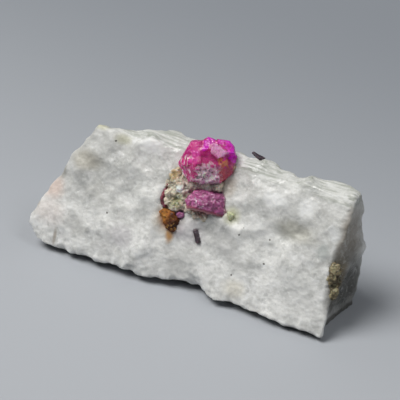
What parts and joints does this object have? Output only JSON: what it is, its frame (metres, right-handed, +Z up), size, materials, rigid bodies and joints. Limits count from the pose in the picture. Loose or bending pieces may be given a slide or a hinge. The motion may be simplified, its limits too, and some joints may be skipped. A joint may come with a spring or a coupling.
{
  "type": "ruby in matrix",
  "caption": "Loose hand specimen: a long block of white marble with pink ruby crystals, a mica crust and small dark flakes on its leaning front face.",
  "frame": {"origin": "middle of the bottom of the bounding box, on the surface that the stone rests on", "axes": "+X along the stone's length, towards the end with the brown pocket; the leaning front face with the rubies looks towards -Y; +Z up"},
  "size_m": [0.0688, 0.0207, 0.03],
  "materials": {
    "marble": "broken coarse calcite marble, waxy and slightly translucent",
    "ruby": "translucent pink-red crystal with glassy and frosted faces",
    "frosted_ruby": "speckled purplish pink crystal, frosted",
    "purple_ruby": "purple crystal chip, satin",
    "wine_red_ruby": "dark wine-red crystal, satin",
    "mica": "granular cream and grey-green mica crust",
    "iron_stain": "amber to dark brown iron-stained grain",
    "graphite": "dark flake with a dull sheen",
    "green_mica": "olive-green mica grains",
    "brown_crust": "olive-brown granular crust"
  },
  "bodies": {
    "root": {"marble_matrix": "marble", "ruby_main": "ruby", "ruby_lower": "frosted_ruby", "ruby_chip": "purple_ruby", "ruby_sliver": "wine_red_ruby", "mica_crust": "mica", "iron_stained_grain": "iron_stain", "graphite_flake_front": "graphite", "graphite_flake_top": "graphite", "green_mica_tuft": "green_mica", "brown_pocket_crust": "brown_crust"}
  },
  "joints": []
}
